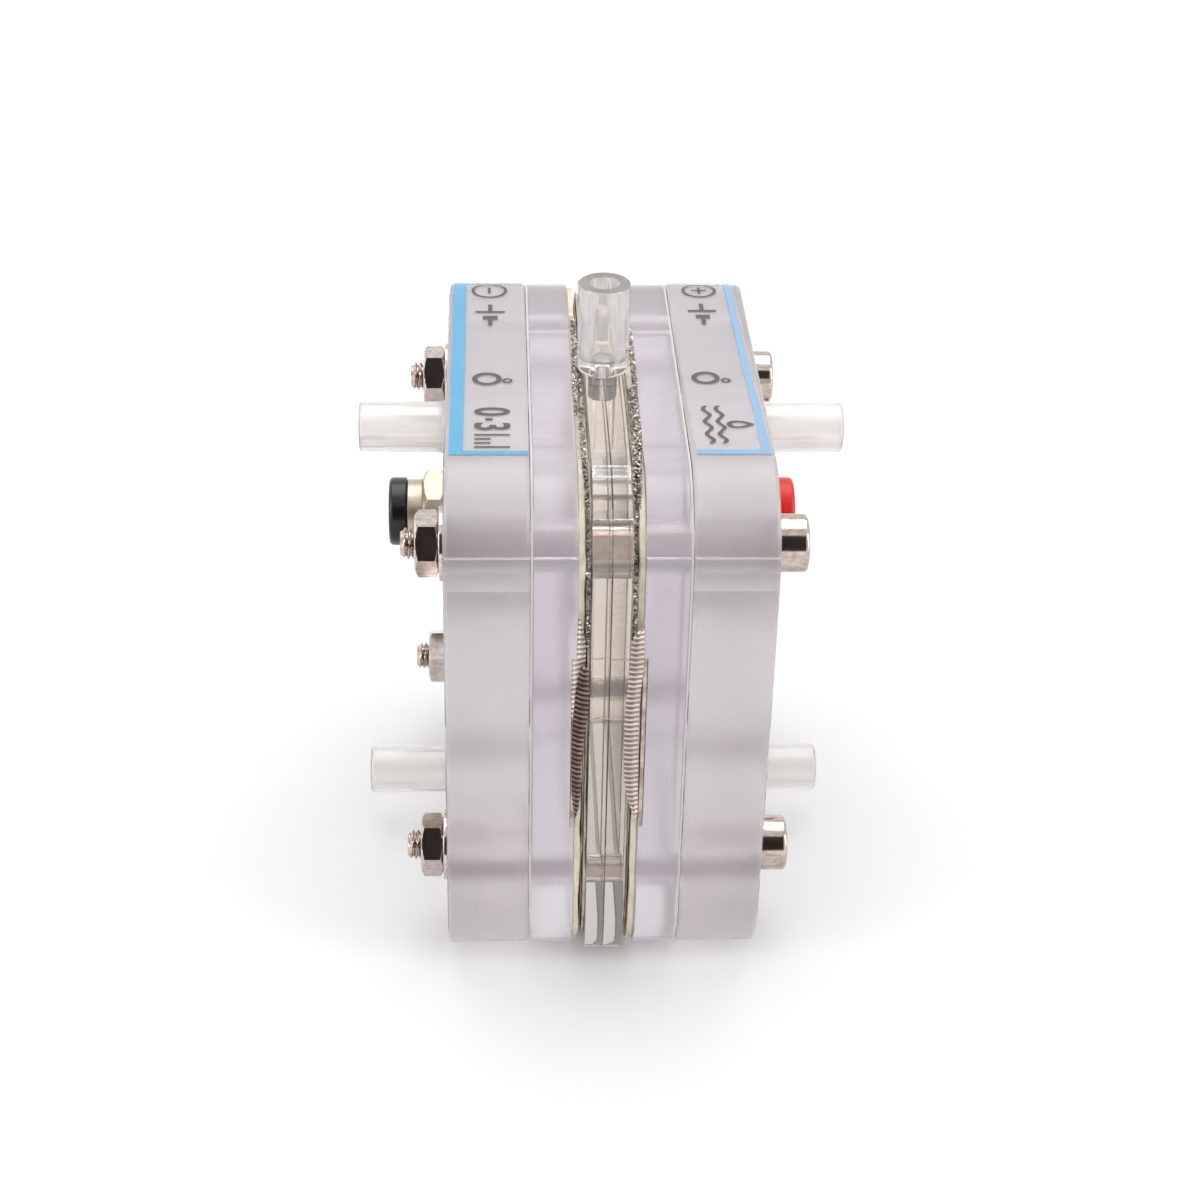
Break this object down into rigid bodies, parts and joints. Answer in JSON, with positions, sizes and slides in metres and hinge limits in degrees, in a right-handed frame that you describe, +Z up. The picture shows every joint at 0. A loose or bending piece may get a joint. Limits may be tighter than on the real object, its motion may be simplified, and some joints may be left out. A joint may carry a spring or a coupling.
{
  "type": "hydrogen electrolyzer",
  "caption": "Small clamped plate stack that splits water: clear plates around two membrane cells, hose stubs for water and gas, banana jacks for power.",
  "frame": {"origin": "middle of the footprint, on the surface it stands on", "axes": "+X along the stack towards the positive side, +Y away from the ribbed front edge, +Z up towards the hydrogen outlet"},
  "size_m": [0.0476, 0.0546, 0.0631],
  "materials": {
    "outer_acrylic": "satin, saw cut and lightly polished",
    "inner_acrylic": "satin",
    "frame_acrylic": "clear, polished",
    "stub_acrylic": "satin",
    "outlet_acrylic": "clear, polished",
    "gasket_rubber": "matte",
    "membrane_film": "smooth film",
    "seal_film": "smooth film",
    "expanded_metal": "slit and stretched",
    "ribbed_nickel": "rolled ribs",
    "nickel_steel": "bright nickel plate",
    "nickel_brass": "bright nickel plate on brass",
    "black_ring": "moulded",
    "red_ring": "moulded",
    "label_film": "printed film"
  },
  "bodies": {
    "root": {"bolt_front_lower": "nickel_steel", "bolt_front_upper": "nickel_steel", "bolt_rear_lower": "nickel_steel", "bolt_rear_upper": "nickel_steel", "centre_frame_left": "frame_acrylic", "centre_frame_right": "frame_acrylic", "collector_left": "ribbed_nickel", "collector_right": "ribbed_nickel", "frame_seal_left": "seal_film", "frame_seal_right": "seal_film", "gasket_left": "gasket_rubber", "gasket_right": "gasket_rubber", "head_washer_front_lower": "nickel_steel", "head_washer_front_upper": "nickel_steel", "head_washer_rear_lower": "nickel_steel", "head_washer_rear_upper": "nickel_steel", "hose_stub_left_lower": "stub_acrylic", "hose_stub_left_upper": "stub_acrylic", "hose_stub_right_lower": "stub_acrylic", "hose_stub_right_upper": "stub_acrylic", "hydrogen_electrode_left": "expanded_metal", "hydrogen_electrode_right": "expanded_metal", "hydrogen_outlet": "outlet_acrylic", "inner_plate_left": "inner_acrylic", "inner_plate_right": "inner_acrylic", "jack_left": "nickel_brass", "jack_right": "nickel_brass", "jack_ring_left": "black_ring", "jack_ring_right": "red_ring", "jack_washer_left": "nickel_brass", "jack_washer_right": "nickel_brass", "label_left": "label_film", "label_right": "label_film", "membrane_left": "membrane_film", "membrane_right": "membrane_film", "nut_front_lower": "nickel_steel", "nut_front_upper": "nickel_steel", "nut_rear_lower": "nickel_steel", "nut_rear_upper": "nickel_steel", "nut_washer_front_lower": "nickel_steel", "nut_washer_front_upper": "nickel_steel", "nut_washer_rear_lower": "nickel_steel", "nut_washer_rear_upper": "nickel_steel", "outer_plate_left": "outer_acrylic", "outer_plate_right": "outer_acrylic", "oxygen_electrode_left": "expanded_metal", "oxygen_electrode_right": "expanded_metal"}
  },
  "joints": []
}
